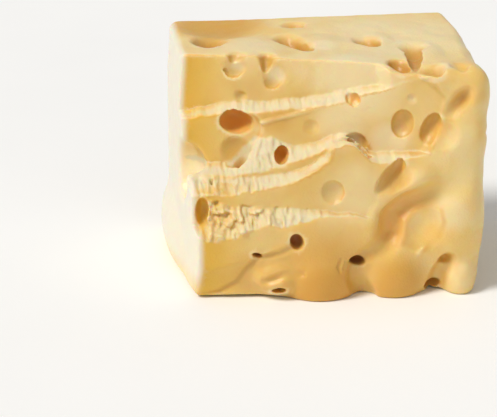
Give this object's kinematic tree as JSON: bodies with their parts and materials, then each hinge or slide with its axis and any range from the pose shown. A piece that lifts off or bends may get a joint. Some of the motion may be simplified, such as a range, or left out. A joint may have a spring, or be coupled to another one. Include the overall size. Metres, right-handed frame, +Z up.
{
  "type": "cheese block",
  "caption": "Thick block of holey hard cheese with a smooth natural skin, one side torn away in stepped layers that cut through its eyes.",
  "frame": {"origin": "middle of the bounding box in plan, on the flat base that the block stands on", "axes": "+X to the right along the width, +Y from the torn front to the cut back, +Z up"},
  "size_m": [0.1582, 0.1204, 0.12],
  "materials": {
    "cheese": null
  },
  "bodies": {
    "root": {"cheese_block": "cheese"}
  },
  "joints": []
}
